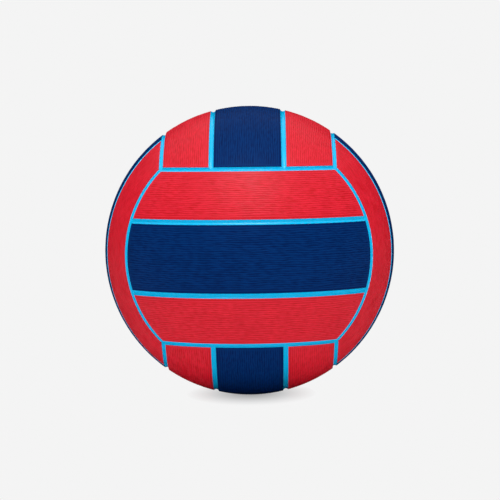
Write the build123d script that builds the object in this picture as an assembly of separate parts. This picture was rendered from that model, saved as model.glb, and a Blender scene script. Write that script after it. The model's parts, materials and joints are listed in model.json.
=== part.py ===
from build123d import *
import math
import os

# Water polo ball of the men's match size, in millimetres.
# The origin is the ball's centre and +Z is up. The front faces -Y and the valve is at +Y.
# The cover is six square-on faces of three strips each, laid on the sphere like the faces of a cube.
# The strips of the front and back run along X, of the left and right along Z, of the top and bottom along Y.

# Cover
ball_diameter = 220.0
centre_strip_width = 53.0     # over the surface, from the middle of one long channel to the other
channel_width = 3.8           # from panel to panel
channel_depth = 1.3           # from the ball's surface to the middle of a channel between strips
face_channel_drop = 0.15      # how much deeper the channels between faces are
shoulder_depth = 0.2          # from the ball's surface to the two shoulders of a channel
groove_width = 2.8            # of the round groove between the shoulders
panel_thickness = 1.4
panel_corner_radius = 1.2
panel_edge_radius = 0.3

# Layers under the cover, each held to the next by a bond line
carcass_thickness = 0.4
winding_thickness = 0.3
bladder_thickness = 0.7
bond_line = 0.05

# Valve body
neck_radius = 6.0
neck_recess = 0.4             # from the ball's surface to the neck's rim
neck_clearance = 0.15         # to the hole through the layers
flange_radius = 18.0
flange_root_thickness = 1.6
flange_edge_thickness = 0.6
boss_radius = 5.5
boss_length = 13.0            # inwards from the flange

# Valve core
core_head_radius = 4.5
core_head_thickness = 1.6
core_head_recess = 0.15       # from the ball's surface to the top of the head
core_stem_radius = 3.0
core_tip_radius = 1.8
core_tip_length = 3.5         # what stands out of the boss inside the ball
core_clearance = 0.06         # between core and body, all round
needle_radius = 1.1
needle_length = 12.0          # the straight part of the needle's passage
needle_mouth_radius = 1.9
needle_mouth_depth = 1.0

# Radii of the layers, from the ball's surface inwards
ball_radius = ball_diameter / 2
panel_inner = ball_radius - panel_thickness
carcass_seat = panel_inner - bond_line
carcass_inner = carcass_seat - carcass_thickness
winding_outer = carcass_inner - bond_line
winding_inner = winding_outer - winding_thickness
bladder_outer = winding_inner - bond_line
bladder_inner = bladder_outer - bladder_thickness
rib_top = ball_radius - shoulder_depth

# Places along the valve's axis, from the ball's centre
head_top = ball_radius - core_head_recess
head_under = head_top - core_head_thickness
flange_seat = bladder_inner - bond_line
boss_top = math.sqrt((flange_seat - flange_root_thickness) ** 2 - boss_radius ** 2)
boss_end = boss_top - boss_length

# Directions of the channels, in degrees from the middle of a face. The circles of three faces meet in the
# corners of a cube, so the edge circle's latitude follows from the cube alone.
edge_latitude = math.degrees(math.asin(1 / math.sqrt(3)))
end_angle = 90 - edge_latitude
strip_latitude = math.degrees(centre_strip_width / 2 / ball_radius)
edge_half_turn = 45.0
strip_half_turn = math.degrees(math.acos(math.cos(math.radians(end_angle))
                                         / math.cos(math.radians(strip_latitude))))
panel_inset = math.degrees(channel_width / 2 / ball_radius)
pocket_inset = math.degrees((channel_width / 2 - bond_line) / ball_radius)

cube_diagonal = Axis((0, 0, 0), (1, 1, 1))
face_names = [("front", "back"), ("left", "right"), ("bottom", "top")]
outer_strip_names = [("upper", "lower"), ("back", "front"), ("right", "left")]


def polar(radius, degrees):
    """Point at an angle above the profile's first axis."""
    return (radius * math.cos(math.radians(degrees)), radius * math.sin(math.radians(degrees)))


def arc(radius, start, end):
    """Arc about the ball's centre, from one angle to another."""
    return ThreePointArc(polar(radius, start), polar(radius, (start + end) / 2), polar(radius, end))


def patch(radius, low, high, inset, corner_radius):
    """Piece of a sphere over one strip of the front face, between two channel latitudes."""
    bottom = radius * math.sin(math.radians(low + inset))
    top = radius * math.sin(math.radians(high - inset))
    end = -radius * math.cos(math.radians(end_angle - inset))
    window = Pos(0, end - radius, (bottom + top) / 2) * Box(3 * radius, 2 * radius, top - bottom)
    corners = window.edges().filter_by(Axis.X).sort_by(Axis.Y)[-2:]
    window = fillet(corners, corner_radius)
    return (Sphere(radius) & window).faces().filter_by(GeomType.SPHERE)[0]


def panel(low, high):
    """Cover panel with square-on side walls and a rounded outer edge."""
    outside = patch(ball_radius, low, high, panel_inset, panel_corner_radius)
    block = thicken(outside, -panel_thickness).solids()[0]
    outside = block.faces().sort_by(SortBy.AREA)[-1]
    return fillet(outside.edges(), panel_edge_radius)


def pocket(low, high):
    """Room that a panel takes among the carcass's ribs."""
    floor = patch(carcass_seat, low, high, pocket_inset, panel_corner_radius + bond_line)
    return thicken(floor, ball_radius - carcass_seat).solids()[0]


def groove(latitude, half_turn, depth):
    """Round cutter along a channel of the front face, between its shoulders."""
    sag = depth - shoulder_depth
    radius = ((groove_width / 2) ** 2 + sag ** 2) / (2 * sag)
    section = Pos(*polar(ball_radius - depth + radius, latitude)) * Circle(radius)
    return revolve(Plane.XZ * section, Axis.Z, 2 * half_turn).rotate(Axis.Z, -90 - half_turn)


def on_face(shape, turn, half):
    """Shape of the front face, carried to one of the six faces."""
    return shape.rotate(Axis.Z, 180 * half).rotate(cube_diagonal, -120 * turn)


def on_all_faces(shapes):
    """Shapes of the front face, carried to all six faces."""
    return [on_face(shape, turn, half) for turn in range(3) for half in range(2) for shape in shapes]


def and_below(shape):
    """Shape of the front face's upper half, with its copy in the lower half."""
    return [shape, shape.rotate(Axis.Y, 180)]


def valve_hole():
    """Round way through all layers at +Y."""
    return Pos(0, ball_radius, 0) * Cylinder(neck_radius + neck_clearance, ball_radius, rotation=(90, 0, 0))


def layer(inner, outer):
    """Hollow sphere with the valve's hole."""
    return Sphere(outer) - Sphere(inner) - valve_hole()


def carcass():
    """Rubber layer with ribs between the panels, whose grooved tops are the channels."""
    shell = Sphere(rib_top) - Sphere(carcass_inner)
    face_groove = groove(edge_latitude, edge_half_turn, channel_depth + face_channel_drop)
    strip_groove = groove(strip_latitude, strip_half_turn, channel_depth)
    pockets = [pocket(-strip_latitude, strip_latitude)] + and_below(pocket(strip_latitude, edge_latitude))
    shell = shell - on_all_faces(and_below(face_groove))
    shell = shell - on_all_faces(and_below(strip_groove))
    return shell - on_all_faces(pockets) - valve_hole()


def valve_body():
    """Neck through the layers, flange under the bladder and boss inside the ball, bored for the core."""
    stem_hole = core_stem_radius + core_clearance
    head_hole = core_head_radius + core_clearance
    rim = ball_radius - neck_recess
    head_seat = head_under - core_clearance
    neck_angle = math.degrees(math.acos(neck_radius / flange_seat))
    edge_angle = math.degrees(math.acos(flange_radius / flange_seat))
    under_edge = polar(flange_seat - flange_edge_thickness, edge_angle)
    outline = [
        Line((head_hole, rim), (neck_radius, rim)),
        Line((neck_radius, rim), polar(flange_seat, neck_angle)),
        arc(flange_seat, neck_angle, edge_angle),
        Line(polar(flange_seat, edge_angle), under_edge),
        Line(under_edge, (boss_radius, boss_top)),
        Line((boss_radius, boss_top), (boss_radius, boss_end)),
        Line((boss_radius, boss_end), (stem_hole, boss_end)),
        Line((stem_hole, boss_end), (stem_hole, head_seat)),
        Line((stem_hole, head_seat), (head_hole, head_seat)),
        Line((head_hole, head_seat), (head_hole, rim)),
    ]
    return revolve(make_face(outline), Axis.Y)


def valve_core():
    """Plug with a domed head, a straight stem and a closed tip, and the needle's passage down its axis."""
    tip_end = boss_end - core_tip_length
    mouth_top = math.sqrt(head_top ** 2 - needle_mouth_radius ** 2)
    mouth_end = mouth_top - needle_mouth_depth
    needle_end = mouth_end - needle_length
    rim_angle = math.degrees(math.acos(core_head_radius / head_top))
    mouth_angle = math.degrees(math.acos(needle_mouth_radius / head_top))
    outline = [
        arc(head_top, mouth_angle, rim_angle),
        Line(polar(head_top, rim_angle), (core_head_radius, head_under)),
        Line((core_head_radius, head_under), (core_stem_radius, head_under)),
        Line((core_stem_radius, head_under), (core_stem_radius, boss_end)),
        Line((core_stem_radius, boss_end), (core_tip_radius, tip_end)),
        Line((core_tip_radius, tip_end), (0, tip_end)),
        Line((0, tip_end), (0, needle_end)),
        Line((0, needle_end), (needle_radius, needle_end)),
        Line((needle_radius, needle_end), (needle_radius, mouth_end)),
        Line((needle_radius, mouth_end), polar(head_top, mouth_angle)),
    ]
    return revolve(make_face(outline), Axis.Y)


def cover_panels():
    """The cover's panels by node name."""
    centre = panel(-strip_latitude, strip_latitude)
    upper, lower = and_below(panel(strip_latitude, edge_latitude))
    panels = {}
    for turn, faces in enumerate(face_names):
        first, second = outer_strip_names[turn]
        for half, face in enumerate(faces):
            panels[f"{face}_centre_panel"] = on_face(centre, turn, half)
            panels[f"{face}_{first}_panel"] = on_face(upper, turn, half)
            panels[f"{face}_{second}_panel"] = on_face(lower, turn, half)
    panels["back_centre_panel"] = panels["back_centre_panel"] - valve_hole()
    return panels


nodes = cover_panels()
nodes["carcass"] = carcass()
nodes["nylon_winding"] = layer(winding_inner, winding_outer)
nodes["bladder"] = layer(bladder_inner, bladder_outer)
nodes["valve_body"] = valve_body()
nodes["valve_core"] = valve_core()

os.makedirs("parts", exist_ok=True)
for name, shape in nodes.items():
    export_step(shape, f"parts/{name}.step")
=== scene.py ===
# %% [markdown]
# # A water polo ball
# The ball is a sealed rubber wall: a bladder, a wound thread layer, a carcass with raised ribs, and eighteen
# cover panels between the ribs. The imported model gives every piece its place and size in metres, with the
# origin in the ball's centre, the front towards -Y and the valve at +Y. This lesson dresses that model.

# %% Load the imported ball
import json
import math

import bpy
from mathutils import Matrix, Vector, noise


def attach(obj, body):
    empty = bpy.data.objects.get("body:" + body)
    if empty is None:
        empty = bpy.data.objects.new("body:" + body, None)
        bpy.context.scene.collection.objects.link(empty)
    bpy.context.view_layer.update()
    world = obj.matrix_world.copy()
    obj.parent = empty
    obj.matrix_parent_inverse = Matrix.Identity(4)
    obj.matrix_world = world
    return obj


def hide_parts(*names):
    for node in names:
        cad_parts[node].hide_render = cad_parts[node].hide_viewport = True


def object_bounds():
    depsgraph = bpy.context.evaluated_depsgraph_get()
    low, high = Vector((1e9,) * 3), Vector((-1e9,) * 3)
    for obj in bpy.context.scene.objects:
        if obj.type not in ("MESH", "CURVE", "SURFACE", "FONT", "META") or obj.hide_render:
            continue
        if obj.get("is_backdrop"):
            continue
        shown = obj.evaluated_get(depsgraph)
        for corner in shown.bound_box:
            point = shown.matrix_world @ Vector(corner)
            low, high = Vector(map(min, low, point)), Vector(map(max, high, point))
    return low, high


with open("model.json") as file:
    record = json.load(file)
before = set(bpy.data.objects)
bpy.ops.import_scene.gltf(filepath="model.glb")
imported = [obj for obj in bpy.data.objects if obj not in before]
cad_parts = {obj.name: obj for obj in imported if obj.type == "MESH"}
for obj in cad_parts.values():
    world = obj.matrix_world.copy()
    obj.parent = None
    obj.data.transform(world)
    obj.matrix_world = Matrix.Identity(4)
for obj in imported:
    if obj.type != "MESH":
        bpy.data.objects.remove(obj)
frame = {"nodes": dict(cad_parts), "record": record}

cad_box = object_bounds()
mm = 0.001
mounts = {mount["name"]: mount for mount in frame["record"]["mounts"]}
ball_radius = -mounts["cradle"]["pos_m"][2]
print("ball radius", round(ball_radius / mm, 2), "mm")

# %% [markdown]
# ## The camera
# The photograph is a long-lens product shot: the ball's channels give the camera's distance, its small height
# above the ball's middle and a slight turn and tilt. The lens then follows from the ball's size in the frame.

# %% Camera
camera_distance = 12.9 * ball_radius
camera_height = math.radians(3.49)
camera_turn = math.radians(0.58)
camera_tilt = math.radians(0.67)
image_width = 500.0             # pixels, as are the next three
ball_radius_in_pixels = 144.4
ball_left_of_middle = 0.35
ball_below_middle = 0.15
sensor_width = 36.0

pixels_per_slope = ball_radius_in_pixels * math.sqrt(camera_distance**2 - ball_radius**2) / ball_radius
bpy.ops.object.camera_add()
camera = bpy.context.object
camera.name = "photo_camera"
camera.data.sensor_width = sensor_width
camera.data.lens = pixels_per_slope / image_width * sensor_width
camera.data.shift_x = ball_left_of_middle / image_width
camera.data.shift_y = ball_below_middle / image_width
camera.data.clip_start = 0.05
look = (Matrix.Rotation(camera_turn, 4, "Z") @ Matrix.Rotation(-camera_height, 4, "X")
        @ Matrix.Rotation(camera_tilt, 4, "Y"))
stand = look @ Matrix.Translation((0, -camera_distance, 0)) @ Matrix.Rotation(math.radians(90), 4, "X")
camera.matrix_world = stand
bpy.context.scene.camera = camera
print("camera at", [round(v, 3) for v in camera.location], "lens", round(camera.data.lens, 1), "mm")

# %% [markdown]
# ## Helpers for modelling
# Every operator works on what is selected, so each piece starts with nothing selected. Nearly all of a ball can
# be made on a lathe: a circle gets as many points as the section has, its points are set on the section, and
# Spin turns that ring about an axis through the ball's centre. A Boolean then trims what the lathe can't.

# %% Selection and section
def pick(piece):
    """Selects this object alone and makes it active."""
    bpy.ops.object.select_all(action="DESELECT")
    piece.select_set(True)
    bpy.context.view_layer.objects.active = piece


def section_ring(name, points):
    """Ring of edges through the points of a closed section."""
    bpy.ops.object.select_all(action="DESELECT")
    bpy.ops.mesh.primitive_circle_add(vertices=len(points), radius=ball_radius)
    ring = bpy.context.object
    ring.name = name
    ring.data.name = name
    for vertex, point in zip(ring.data.vertices, points):
        vertex.co = point
    return ring


# %% Lathe and cutting
spin_weld = 0.002 * mm


def lathe(ring, axis, angle, steps):
    """Spins a ring, closes the ends of a part turn, merges doubles and turns the faces outwards."""
    pick(ring)
    bpy.ops.object.mode_set(mode="EDIT")
    bpy.ops.mesh.select_all(action="SELECT")
    bpy.ops.mesh.spin(steps=steps, angle=angle, center=(0, 0, 0), axis=axis)
    bpy.ops.mesh.select_all(action="SELECT")
    bpy.ops.mesh.remove_doubles(threshold=spin_weld)
    bpy.ops.mesh.delete_loose()
    if angle < 2 * math.pi:
        bpy.ops.mesh.select_all(action="DESELECT")
        bpy.ops.mesh.select_non_manifold()
        bpy.ops.mesh.edge_face_add()
    bpy.ops.mesh.select_all(action="SELECT")
    bpy.ops.mesh.normals_make_consistent(inside=False)
    bpy.ops.object.mode_set(mode="OBJECT")


def cut(piece, tool, operation):
    """Trims or drills a piece with a closed tool, which is then removed."""
    pick(piece)
    modifier = piece.modifiers.new("cut", "BOOLEAN")
    modifier.operation = operation
    modifier.solver = "EXACT"
    modifier.object = tool
    bpy.ops.object.modifier_apply(modifier=modifier.name)
    bpy.data.objects.remove(tool)


# %% [markdown]
# ## The section of a cover panel
# A cover panel is a rubber strip with a rounded edge, a narrow smooth border and, inside that, fine cords
# moulded side by side along its length. The cords give wet hands their grip. They could be a bump map, but the
# ball's outline and the light along the edges show them, so they are in the section that goes on the lathe.

# %% Sizes of the strips
centre_strip_width = 53.0 * mm
channel_width = 3.8 * mm
panel_thickness = 1.4 * mm
squeeze = 0.05 * mm             # how far a panel's soft edge is pressed against the carcass's rib
edge_radius = 0.35 * mm
border_width = 1.3 * mm

strip_latitude = centre_strip_width / 2 / ball_radius
edge_latitude = math.asin(1 / math.sqrt(3))
end_angle = math.pi / 2 - edge_latitude
inset = (channel_width / 2 - squeeze) / ball_radius
edge_turn = edge_radius / ball_radius
border_turn = border_width / ball_radius
print("strips between latitudes", round(math.degrees(strip_latitude), 2), round(math.degrees(edge_latitude), 2))

# %% Section of a strip
cord_pitch = 1.6 * mm
cord_height = 0.13 * mm
crest_power = 0.8               # under 1, the crests are broad and the hollows narrow
points_per_cord = 6


def ring_point(radius, latitude):
    """Point of a strip's section, in the plane X = 0 towards the front."""
    return (0, -radius * math.cos(latitude), radius * math.sin(latitude))


def strip_section(low, high):
    """Section between two latitudes: flat inside, rounded edges, smooth borders and a row of cords."""
    inside_steps = 12
    corner_steps = 4
    points = []
    for i in range(inside_steps + 1):
        points.append(ring_point(ball_radius - panel_thickness, low + (high - low) * i / inside_steps))
    corner = [math.pi / 2 * i / corner_steps for i in range(corner_steps + 1)]
    for turn in corner:
        points.append(ring_point(ball_radius - edge_radius * (1 - math.sin(turn)),
                                 high - edge_turn * (1 - math.cos(turn))))
    field = high - low - 2 * border_turn
    cords = round(field * ball_radius / cord_pitch)
    for i in range(cords * points_per_cord + 1):
        share = i / (cords * points_per_cord)
        hollow = cord_height * (1 - abs(math.sin(math.pi * cords * share)) ** crest_power)
        points.append(ring_point(ball_radius - hollow, high - border_turn - field * share))
    for turn in reversed(corner):
        points.append(ring_point(ball_radius - edge_radius * (1 - math.sin(turn)),
                                 low + edge_turn * (1 - math.cos(turn))))
    return points


print("centre strip's section", len(strip_section(inset - strip_latitude, strip_latitude - inset)), "points")

# %% [markdown]
# ## Two panels on the lathe
# The front face has a centre strip and two outer strips that mirror each other. A strip goes round the Z axis,
# so its section is spun about Z, a little too far at both ends. The round channel that bounds the face then
# trims the ends: a cap with a rounded rim, spun about the face's own axis, keeps what lies inside it.

# %% Cap that trims the ends
cap_steps = 240


def end_cap():
    """Closed cap over the front face, with a rounded rim along the channel round the face."""
    rim = end_angle - inset
    over = 0.05 * mm
    arc_steps = 60
    corner_steps = 5
    points = [(0, 0, 0)]
    for i in range(arc_steps + 1):
        points.append(ring_point(ball_radius + over, (rim - edge_turn) * i / arc_steps))
    for i in range(corner_steps):
        turn = math.pi / 2 * (1 - (i + 1) / corner_steps)
        points.append(ring_point(ball_radius - edge_radius + (edge_radius + over) * math.sin(turn),
                                 rim - edge_turn * (1 - math.cos(turn))))
    cap = section_ring("end_cap", points)
    lathe(cap, (0, 1, 0), 2 * math.pi, cap_steps)
    return cap


# %% Spin and trim
spin_step = math.radians(1.0)


def front_panel(name, low, high):
    """Panel of the front face between two channel latitudes."""
    half_turn = end_angle + spin_step
    piece = section_ring(name, strip_section(low + inset, high - inset))
    piece.data.transform(Matrix.Rotation(half_turn, 4, "Z"))
    lathe(piece, (0, 0, 1), 2 * half_turn, round(2 * half_turn / spin_step))
    cut(piece, end_cap(), "INTERSECT")
    print(name, len(piece.data.polygons), "faces")
    return piece


centre_panel = front_panel("centre_panel", -strip_latitude, strip_latitude)
outer_panel = front_panel("outer_panel", strip_latitude, edge_latitude)

# %% [markdown]
# ## Borders at the ends, and cords that are never quite straight
# The smooth border also goes round a panel's ends, where the cords die away. Moulded cords wander and swell a
# little, because the mould was cut after laid string. A Displace modifier would push them straight off the
# ball, so the points are moved in code instead: sideways along the ball's skin, and in or out along its radius.

# %% Wandering cords
fade_width = 1.5 * mm
skin_depth = 1.2 * cord_height  # what lies deeper isn't part of the corded skin
wander = {"along": 12 * mm, "across": 5 * mm, "reach": 0.7 * mm}
swelling = {"along": 4 * mm, "across": 1.2 * mm, "reach": 0.09 * mm}


def share_of(distance, width):
    """How far a distance reaches into a width, from 0 to 1."""
    return min(max(distance / width, 0.0), 1.0)


def loosen_cords(piece, low, high, seed):
    """Flattens the cords along the ends and lets them wander and swell inside the border."""
    for vertex in piece.data.vertices:
        radius = vertex.co.length
        latitude = math.asin(vertex.co.z / radius)
        longitude = math.atan2(vertex.co.x, -vertex.co.y)
        from_end = (end_angle - inset - math.acos(-vertex.co.y / radius)) * ball_radius
        from_side = (min(latitude - low, high - latitude) - inset) * ball_radius
        if radius < ball_radius - skin_depth or min(from_end, from_side) < edge_radius:
            continue
        radius += (ball_radius - radius) * share_of(border_width + fade_width - from_end, fade_width)
        loose = share_of(min(from_end, from_side) - border_width, 2 * fade_width)
        along = longitude * ball_radius
        across = latitude * ball_radius
        drift = noise.noise((along / wander["along"], across / wander["across"], seed))
        swell = noise.noise((along / swelling["along"], across / swelling["across"], -seed))
        latitude += loose * wander["reach"] * drift / ball_radius
        radius += loose * swelling["reach"] * swell
        vertex.co = (radius * math.cos(latitude) * math.sin(longitude),
                     -radius * math.cos(latitude) * math.cos(longitude), radius * math.sin(latitude))


# %% [markdown]
# ## Moulded rubber
# The cover is natural rubber, coloured through and moulded. Its skin is dull, the crests of the cords are painted
# paler as a painted sheen and the hollows darker as painted shade, and a fine grit breaks up the shine. The
# distance from the ball's centre tells crest from hollow, so one Object coordinate gives the painted sheen and
# shade and the grit, on every panel alike.

# %% Colour and node helpers
def linear(code):
    """Linear colour of an sRGB hex value."""
    shares = [int(code[i:i + 2], 16) / 255 for i in (1, 3, 5)]
    return [c / 12.92 if c <= 0.04045 else ((c + 0.055) / 1.055) ** 2.4 for c in shares] + [1.0]


def add(tree, kind, inputs, **settings):
    """Adds a node with its settings, and fills its inputs with values or with other nodes' outputs."""
    node = tree.nodes.new(kind)
    for name, value in settings.items():
        setattr(node, name, value)
    for key, value in inputs.items():
        if isinstance(value, bpy.types.NodeSocket):
            tree.links.new(value, node.inputs[key])
        else:
            node.inputs[key].default_value = value
    return node


def new_material(name):
    """Material with an empty node tree."""
    material = bpy.data.materials.new(name)
    material.use_nodes = True
    material.node_tree.nodes.clear()
    return material


print("half of white on the screen is", round(linear("#808080")[0], 3), "of its light")

# %% Cover rubber
rubber_ior = 1.5
cloud_size = 12 * mm
cloud_range = {"From Min": 0.3, "From Max": 0.7}
# Real grit is finer than a pixel, so it is drawn coarser to show.
grit_size = 0.7 * mm
grit_depth = 0.05 * mm


def cover_rubber(name, crest_sheen, hollow, gloss):
    """Moulded natural rubber, with a painted sheen on the crests of its cords and painted shade in the hollows.
    """
    # The eye gets a deep even colour, striped by the cords and their painted sheen and shade, under a broad dull
    # shine without a sharp edge.
    material = new_material(name)
    tree = material.node_tree
    place = add(tree, "ShaderNodeTexCoord", {}).outputs["Object"]
    reach = add(tree, "ShaderNodeVectorMath", {0: place}, operation="LENGTH").outputs["Value"]
    height = add(tree, "ShaderNodeMapRange", {"Value": reach, "From Min": ball_radius - cord_height,
                                              "From Max": ball_radius}).outputs["Result"]
    cloud = add(tree, "ShaderNodeTexNoise", {"Vector": place, "Scale": 1 / cloud_size}).outputs["Fac"]
    grit = add(tree, "ShaderNodeTexNoise", {"Vector": place, "Scale": 1 / grit_size}).outputs["Fac"]
    # Painted sheen and shade: the crests get a paler colour and the hollows a darker one, by distance from the
    # centre.
    cords = add(tree, "ShaderNodeMix", {"Factor": height, "A": linear(hollow), "B": linear(crest_sheen)},
                data_type="RGBA")
    tone = add(tree, "ShaderNodeMapRange",
               {**cloud_range, "Value": cloud, "To Min": 0.96, "To Max": 1.04}).outputs["Result"]
    colour = add(tree, "ShaderNodeVectorMath", {0: cords.outputs[2], "Scale": tone}, operation="SCALE")
    dull = add(tree, "ShaderNodeMapRange",
               {**cloud_range, "Value": cloud, "To Min": 0.38, "To Max": 0.48}).outputs["Result"]
    bump = add(tree, "ShaderNodeBump", {"Height": grit, "Strength": 0.4, "Distance": grit_depth})
    shader = add(tree, "ShaderNodeBsdfPrincipled",
                 {"Base Color": colour.outputs["Vector"], "Roughness": dull, "IOR": rubber_ior,
                  "Specular IOR Level": gloss, "Normal": bump.outputs["Normal"]})
    add(tree, "ShaderNodeOutputMaterial", {"Surface": shader.outputs["BSDF"]})
    return material


# The crest colours are a painted sheen, and the hollow colours are painted shade.
red_rubber = cover_rubber("red_moulded_rubber", "#E61C34", "#C80412", 0.24)
navy_rubber = cover_rubber("navy_moulded_rubber", "#02306C", "#001C50", 0.03)
print("made", red_rubber.name, "and", navy_rubber.name)

# %% [markdown]
# ## Eighteen panels
# The faces are laid like those of a cube, and neighbours run square to each other. A half turn about Z brings
# the front to the back, and a third of a turn about the cube's diagonal brings it to the sides and then to the
# top and bottom. So two panels were modelled, and each copy's cords wander in their own way.

# %% Dress a piece, place a panel
seed_step = 7.3                 # sets the cords of one copy apart from those of the next
placed = []


def dress(piece, node, body, material, sharp=50):
    """Gives a finished piece its material and shading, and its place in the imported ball."""
    piece.data.materials.clear()
    piece.data.materials.append(material)
    pick(piece)
    bpy.ops.object.shade_smooth_by_angle(angle=math.radians(sharp))
    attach(piece, body)
    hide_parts(node)


def place_panel(source, node, matrix, latitudes, material):
    """Copy of a panel on its face, with cords of its own."""
    pick(source)
    bpy.ops.object.duplicate()
    piece = bpy.context.object
    piece.name = "cover_" + node
    piece.data.name = piece.name
    low, high = latitudes
    loosen_cords(piece, low, high, seed_step * (len(placed) + 1))
    piece.data.transform(matrix)
    placed.append(piece)
    dress(piece, node, "ball", material)


# %% Place the panels
face_names = [("front", "back"), ("left", "right"), ("bottom", "top")]
outer_names = [("upper", "lower"), ("back", "front"), ("right", "left")]
below = Matrix.Rotation(math.pi, 4, "Y")
centre_band = (-strip_latitude, strip_latitude)
outer_band = (strip_latitude, edge_latitude)
for turn, faces in enumerate(face_names):
    third = Matrix.Rotation(math.radians(-120 * turn), 4, Vector((1, 1, 1)))
    for half, face in enumerate(faces):
        onto = third @ Matrix.Rotation(math.pi * half, 4, "Z")
        first, second = outer_names[turn]
        place_panel(centre_panel, f"{face}_centre_panel", onto, centre_band, navy_rubber)
        place_panel(outer_panel, f"{face}_{first}_panel", onto, outer_band, red_rubber)
        place_panel(outer_panel, f"{face}_{second}_panel", onto @ below, outer_band, red_rubber)
bpy.data.objects.remove(centre_panel)
bpy.data.objects.remove(outer_panel)
print("placed", len(placed), "panels")

# %% [markdown]
# ## The valve's hole
# The valve comes out through the middle of the back's centre panel. A cylinder along Y drills the round hole.

# %% Drill the back panel
valve_hole_radius = 6.15 * mm
drill_length = 20 * mm
bpy.ops.object.select_all(action="DESELECT")
bpy.ops.mesh.primitive_cylinder_add(vertices=72, radius=valve_hole_radius, depth=drill_length,
                                    location=(0, ball_radius, 0), rotation=(math.pi / 2, 0, 0))
drill = bpy.context.object
back_panel = bpy.data.objects["cover_back_centre_panel"]
cut(back_panel, drill, "DIFFERENCE")
print("drilled", back_panel.name, len(back_panel.data.polygons), "faces")

# %% [markdown]
# ## The channels
# The channels are the hollow tops of the carcass's ribs, which stand up between the panels. They are moulded in
# a rubber of their own, smoother than the cover, with a soft shine. Spinning every rib would leave all the
# crossings to be joined by hand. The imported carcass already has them, as loose triangles, so a copy of it is
# merged and then softened.

# %% Channel rubber
def channel_rubber(name, deep, pale):
    """Moulded rubber, coloured through, with a smoother skin than the cover."""
    # The eye gets a clear bright blue with a soft narrow shine along each hollow.
    material = new_material(name)
    tree = material.node_tree
    place = add(tree, "ShaderNodeTexCoord", {}).outputs["Object"]
    cloud = add(tree, "ShaderNodeTexNoise", {"Vector": place, "Scale": 1 / cloud_size}).outputs["Fac"]
    colour = add(tree, "ShaderNodeMix", {"Factor": cloud, "A": linear(deep), "B": linear(pale)},
                 data_type="RGBA")
    dull = add(tree, "ShaderNodeMapRange", {"Value": cloud, "To Min": 0.16, "To Max": 0.24}).outputs["Result"]
    shader = add(tree, "ShaderNodeBsdfPrincipled", {"Base Color": colour.outputs[2], "Roughness": dull,
                                                    "IOR": rubber_ior, "Specular IOR Level": 0.45})
    add(tree, "ShaderNodeOutputMaterial", {"Surface": shader.outputs["BSDF"]})
    return material


blue_rubber = channel_rubber("blue_moulded_rubber", "#00BEF6", "#00CAFC")
print("made", blue_rubber.name)

# %% Merged copy of the carcass
copy_weld = 0.001 * mm
pick(frame["nodes"]["carcass"])
bpy.ops.object.duplicate()
channels = bpy.context.object
channels.name = "channel_carcass"
channels.data.name = channels.name
bpy.ops.object.mode_set(mode="EDIT")
bpy.ops.mesh.select_all(action="SELECT")
bpy.ops.mesh.remove_doubles(threshold=copy_weld)
bpy.ops.mesh.select_mode(type="EDGE")
bpy.ops.mesh.select_all(action="DESELECT")
bpy.ops.object.mode_set(mode="OBJECT")
vertices = channels.data.vertices
print("carcass merged to", len(vertices), "points")

# %% [markdown]
# ## One open hollow
# A rib has flat shoulders and a round groove between them, which would catch the light as hard lines. On the
# real ball the rubber flows from panel to panel in one soft hollow. The faces of a rib's walls reach from the
# shoulder to the seat, so their points are found by that, and spread a little into the panels' soft edges, so
# that no gap shows. Every point between the walls then goes onto a parabola with the groove's own depth.

# %% Spread the ribs and open their grooves
bond_line = 0.05 * mm
shoulder_radius = ball_radius - 0.2 * mm
seat_radius = ball_radius - panel_thickness - bond_line
lip_radius = ball_radius - 0.08 * mm
rib_spread = 0.2 * mm
half_width = channel_width / 2 + rib_spread
channel_depth = 1.3 * mm
groove_radius = 1.44 * mm
close = 0.01 * mm
outward = {}
for face in channels.data.polygons:
    radii = [vertices[i].co.length for i in face.vertices]
    if max(radii) > shoulder_radius - close and min(radii) < seat_radius + close:
        for i in face.vertices:
            outward[i] = outward.get(i, Vector()) + face.normal
for vertex in vertices:
    radius = vertex.co.length
    if vertex.index in outward:
        lift = lip_radius / radius if radius > shoulder_radius - close else 1.0
        vertex.co = lift * vertex.co + rib_spread * outward[vertex.index].normalized()
    elif radius > seat_radius + close:
        height = radius - ball_radius + channel_depth
        across_squared = 2 * groove_radius * height - height**2
        vertex.co *= (ball_radius - channel_depth * (1 - across_squared / half_width**2)) / radius
print("spread", len(outward), "points of the ribs' walls")

# %% [markdown]
# ## Round along the channels
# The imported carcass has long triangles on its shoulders, whose straight edges would cut under the ball's
# curve. Subdivide splits them. An attribute carries each point's distance from the ball's centre into the new
# points, so that they can be laid back on the ball.

# %% Split the long edges and lay them back on the ball
split_radius = ball_radius - 0.74 * mm
longest_edge = 2 * mm
channels.data.attributes.new("reach", "FLOAT", "POINT")
for vertex in vertices:
    channels.data.attributes["reach"].data[vertex.index].value = vertex.co.length
for edge in channels.data.edges:
    ends = [vertices[i].co for i in edge.vertices]
    on_shoulder = min(end.length for end in ends) > split_radius
    edge.select = on_shoulder and (ends[0] - ends[1]).length > longest_edge
bpy.ops.object.mode_set(mode="EDIT")
bpy.ops.mesh.subdivide(number_cuts=3)
bpy.ops.object.mode_set(mode="OBJECT")
for vertex in channels.data.vertices:
    vertex.co *= channels.data.attributes["reach"].data[vertex.index].value / vertex.co.length
channels.data.attributes.remove(channels.data.attributes["reach"])
dress(channels, "carcass", "ball", blue_rubber, sharp=80)
print("channels", len(channels.data.polygons), "faces")

# %% [markdown]
# ## The valve
# A rubber valve body is bonded inside the bladder with a wide flange. Its neck comes out through all the layers
# and its boss hangs inside the ball. A plug, the valve core, sits in it and seals itself when the needle is
# drawn out. Both are round, so each is one closed section on the lathe, with its corners rounded as a mould
# leaves them.

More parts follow.
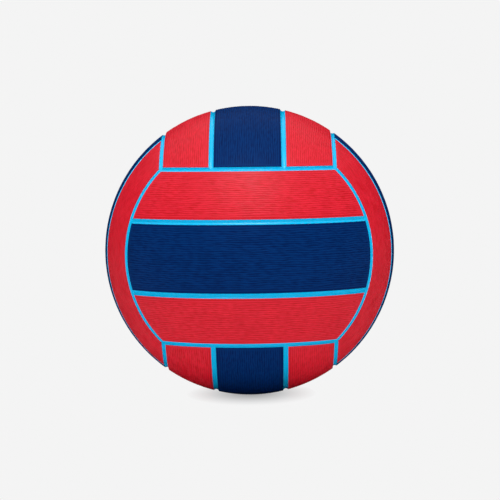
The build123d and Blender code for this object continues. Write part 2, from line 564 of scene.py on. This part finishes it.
# %% Rounded sections
def rounded(corners):
    """Section about Y from corners that give radius, height along Y and rounding, in millimetres."""
    corner_steps = 4
    points = []
    for i, (across, along, rounding) in enumerate(corners):
        corner = Vector((across, along, 0))
        before = Vector((*corners[i - 1][:2], 0)) - corner
        after = Vector((*corners[(i + 1) % len(corners)][:2], 0)) - corner
        if rounding == 0:
            points.append(corner * mm)
            continue
        for step in range(corner_steps + 1):
            share = step / corner_steps
            start = (1 - share) ** 2 * rounding * before.normalized()
            points.append((corner + start + share**2 * rounding * after.normalized()) * mm)
    return points


def on_sphere(radius, near, far, steps):
    """Unrounded corners along a sphere about the ball's centre, between two distances from the valve's axis."""
    across = [near + (far - near) * i / steps for i in range(steps + 1)]
    return [(x, math.sqrt(radius**2 - x**2), 0) for x in across]


# %% [markdown]
# ## Valve rubber
# Valve rubber is filled with carbon black and moulded against polished steel, so it is nearly black, with a
# soft shine that varies a little. The core is greyer than the body, as a plug of a softer mix is.

# %% Valve rubber
mottle_size = 3 * mm


def valve_rubber(name, tint, worn):
    """Carbon-black rubber: dark, with a soft uneven shine."""
    # The eye gets a near black that only its soft edge lights tell from a hole.
    material = new_material(name)
    tree = material.node_tree
    place = add(tree, "ShaderNodeTexCoord", {}).outputs["Object"]
    cloud = add(tree, "ShaderNodeTexNoise", {"Vector": place, "Scale": 1 / mottle_size}).outputs["Fac"]
    colour = add(tree, "ShaderNodeMix", {"Factor": cloud, "A": linear(tint), "B": linear(worn)},
                 data_type="RGBA")
    dull = add(tree, "ShaderNodeMapRange", {"Value": cloud, "To Min": 0.4, "To Max": 0.6}).outputs["Result"]
    shader = add(tree, "ShaderNodeBsdfPrincipled", {"Base Color": colour.outputs[2], "Roughness": dull,
                                                    "IOR": rubber_ior, "Specular IOR Level": 0.3})
    add(tree, "ShaderNodeOutputMaterial", {"Surface": shader.outputs["BSDF"]})
    return material


black_rubber = valve_rubber("black_valve_rubber", "#17181A", "#222326")
grey_rubber = valve_rubber("grey_valve_rubber", "#3A3C40", "#484A4F")
print("made", black_rubber.name, "and", grey_rubber.name)

# %% [markdown]
# ## Body and core on the lathe
# The body's corners go from its rim down the neck, out along the flange under the bladder, back to the boss and
# up through the bore. The core's go over its domed head, down the stem to the tip, and up the needle's passage.

# %% Valve body
spin_steps = 72
body_corners = [(4.56, 109.6, 0.25), (6.0, 109.6, 0.25), (6.0, 106.83, 0)]
body_corners += on_sphere(107.0, 6.3, 17.9, 10)
body_corners += [(17.95, 105.42, 0.15), (17.9, 104.9, 0.15), (5.5, 105.25, 0.6), (5.5, 92.27, 0.6)]
body_corners += [(3.06, 92.27, 0.2), (3.06, 108.19, 0.2), (4.56, 108.19, 0.2)]
valve_body = section_ring("valve_housing", rounded(body_corners))
lathe(valve_body, (0, 1, 0), 2 * math.pi, spin_steps)
dress(valve_body, "valve_body", "ball", black_rubber)
print("valve body", len(valve_body.data.polygons), "faces")

# %% Valve core
core_corners = on_sphere(109.85, 1.95, 4.2, 6)
core_corners += [(4.5, 109.74, 0.2), (4.5, 108.26, 0.2), (3.0, 108.26, 0.15), (3.0, 92.26, 0.6)]
core_corners += [(1.8, 88.77, 0.5), (0, 88.77, 0), (0, 96.84, 0), (1.1, 96.84, 0.3), (1.1, 108.83, 0.3)]
valve_core = section_ring("valve_plug", rounded(core_corners))
lathe(valve_core, (0, 1, 0), 2 * math.pi, spin_steps)
dress(valve_core, "valve_core", "core", grey_rubber)
print("valve core", len(valve_core.data.polygons), "faces")

# %% [markdown]
# ## The hidden layers
# Under the carcass lie the winding, thousands of turns of nylon thread laid in all directions, and the bladder
# of butyl rubber that holds the air. Neither can be seen in a whole ball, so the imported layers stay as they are
# and only get their materials: thread that shows as fine crossing bands, and a black rubber like the valve's.

# %% Thread and bladder
# Real thread is 0.3 mm thick, so its turns are drawn three times as wide to show.
turn_width = 0.9 * mm


def wound_thread(name, pale, dark):
    """Nylon thread in two crossing directions: off-white, with a silky shine."""
    # The eye gets pale crossing stripes that shimmer where the threads turn to the light.
    material = new_material(name)
    tree = material.node_tree
    place = add(tree, "ShaderNodeTexCoord", {}).outputs["Object"]
    turns = [add(tree, "ShaderNodeTexWave", {"Vector": place, "Scale": 0.05 / turn_width, "Distortion": 2.0},
                 bands_direction=direction).outputs["Fac"] for direction in ("X", "DIAGONAL")]
    crossing = add(tree, "ShaderNodeMath", {0: turns[0], 1: turns[1]}, operation="MAXIMUM").outputs["Value"]
    colour = add(tree, "ShaderNodeMix", {"Factor": crossing, "A": linear(dark), "B": linear(pale)},
                 data_type="RGBA")
    bump = add(tree, "ShaderNodeBump", {"Height": crossing, "Strength": 0.5, "Distance": 0.1 * mm})
    shader = add(tree, "ShaderNodeBsdfPrincipled", {"Base Color": colour.outputs[2], "Roughness": 0.4,
                                                    "Normal": bump.outputs["Normal"]})
    add(tree, "ShaderNodeOutputMaterial", {"Surface": shader.outputs["BSDF"]})
    return material


for node, material in (("nylon_winding", wound_thread("nylon_thread", "#EFEBDD", "#C9C2AE")),
                       ("bladder", valve_rubber("butyl_rubber", "#1C1B1A", "#282624"))):
    layer = frame["nodes"][node]
    layer.data.materials.clear()
    layer.data.materials.append(material)
    print(node, "in", material.name)

# %% [markdown]
# ## The floor
# The photograph has an even pale ground with only a small soft shadow under the ball. The floor shows that pale
# colour by itself away from the ball and takes real light and shadow near it. It throws pale light up at the
# ball, but stays dark in the ball's shine, where a white floor would wash the colours out. It casts no shadow,
# so that a low lamp can light the ball from underneath.

# %% Floor
floor_size = 60                 # metres, so that its edge is out of sight
bpy.ops.object.select_all(action="DESELECT")
bpy.ops.mesh.primitive_plane_add(size=floor_size, location=(0, 0, -ball_radius))
floor = bpy.context.object
floor.name = "studio_floor"
floor.visible_shadow = False
floor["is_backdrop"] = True
print("floor at", round(floor.location.z / mm, 1), "mm")

# %% Paper
ground = "#F4F4F4"
shadow_reach = (0.05, 0.066)    # metres sideways and towards the viewer
shadow_softness = 0.3           # share of the ground's own colour where the ball stands
paper = new_material("pale_paper")
tree = paper.node_tree
path = add(tree, "ShaderNodeLightPath", {})
place = add(tree, "ShaderNodeTexCoord", {}).outputs["Object"]
spread = add(tree, "ShaderNodeMapping", {"Vector": place,
                                         "Scale": (1 / shadow_reach[0], 1 / shadow_reach[1], 1)})
away = add(tree, "ShaderNodeVectorMath", {0: spread.outputs[0]}, operation="LENGTH").outputs["Value"]
even = add(tree, "ShaderNodeMapRange", {"Value": away, "To Min": shadow_softness, "To Max": 1.0})
matt = add(tree, "ShaderNodeBsdfDiffuse", {"Color": linear("#F0F0F0")})
glow = add(tree, "ShaderNodeEmission", {"Color": linear(ground), "Strength": 1.0})
seen = add(tree, "ShaderNodeMixShader", {0: even.outputs["Result"], 1: matt.outputs[0], 2: glow.outputs[0]})
bounce = add(tree, "ShaderNodeBsdfDiffuse", {"Color": linear("#FAFAFA")})
flag = add(tree, "ShaderNodeBsdfDiffuse", {"Color": linear("#202020")})
lit = add(tree, "ShaderNodeMixShader", {0: path.outputs["Is Glossy Ray"], 1: bounce.outputs[0],
                                        2: flag.outputs[0]})
mixed = add(tree, "ShaderNodeMixShader", {0: path.outputs["Is Camera Ray"], 1: lit.outputs[0],
                                          2: seen.outputs[0]})
add(tree, "ShaderNodeOutputMaterial", {"Surface": mixed.outputs[0]})
floor.data.materials.append(paper)
print("floor in", paper.name)

# %% [markdown]
# ## The light
# Around the ball is a weak even dome, which the camera sees in the ground's colour and the ball's shine doesn't
# see at all. The rest comes from four wide suns, so that no lamp needs a distance: a broad one from above, a
# key from the front, a smaller one that leaves the soft highlight, and a low fill. Together they are at a
# level where colours show as they are written.

# %% World
sky_strength = 0.25
world = bpy.data.worlds.new("studio")
bpy.context.scene.world = world
world.use_nodes = True
tree = world.node_tree
tree.nodes.clear()
path = add(tree, "ShaderNodeLightPath", {})
dome = add(tree, "ShaderNodeBackground", {"Color": (1, 1, 1, 1), "Strength": sky_strength})
dark = add(tree, "ShaderNodeBackground", {"Color": (0, 0, 0, 1), "Strength": 1.0})
pale = add(tree, "ShaderNodeBackground", {"Color": linear(ground), "Strength": 1.0})
fill = add(tree, "ShaderNodeMixShader", {0: path.outputs["Is Glossy Ray"], 1: dome.outputs[0],
                                         2: dark.outputs[0]})
mixed = add(tree, "ShaderNodeMixShader", {0: path.outputs["Is Camera Ray"], 1: fill.outputs[0],
                                          2: pale.outputs[0]})
add(tree, "ShaderNodeOutputWorld", {"Surface": mixed.outputs[0]})
print("dome at", sky_strength)

# %% Lamps
# Name, strength, width in degrees, and degrees tipped from straight above towards the viewer
lamps = [("top_softbox", 1.3, 120, 5), ("key_softbox", 0.55, 60, 45), ("small_softbox", 1.1, 30, 20),
         ("low_fill", 0.2, 60, 130)]
for name, strength, width, tip in lamps:
    bpy.ops.object.light_add(type="SUN", rotation=(math.radians(tip), 0, 0))
    lamp = bpy.context.object
    lamp.name = name
    lamp.data.energy = strength
    lamp.data.angle = math.radians(width)
    print(name, "at", strength)
bpy.context.scene.view_settings.view_transform = "Standard"

# %% Measure and finish
size_rows = {"cad": [list(corner) for corner in cad_box], "visual": [list(corner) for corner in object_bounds()]}
for name, (low, high) in size_rows.items():
    print(name, "size", [round((b - a) / mm, 2) for a, b in zip(low, high)], "mm")
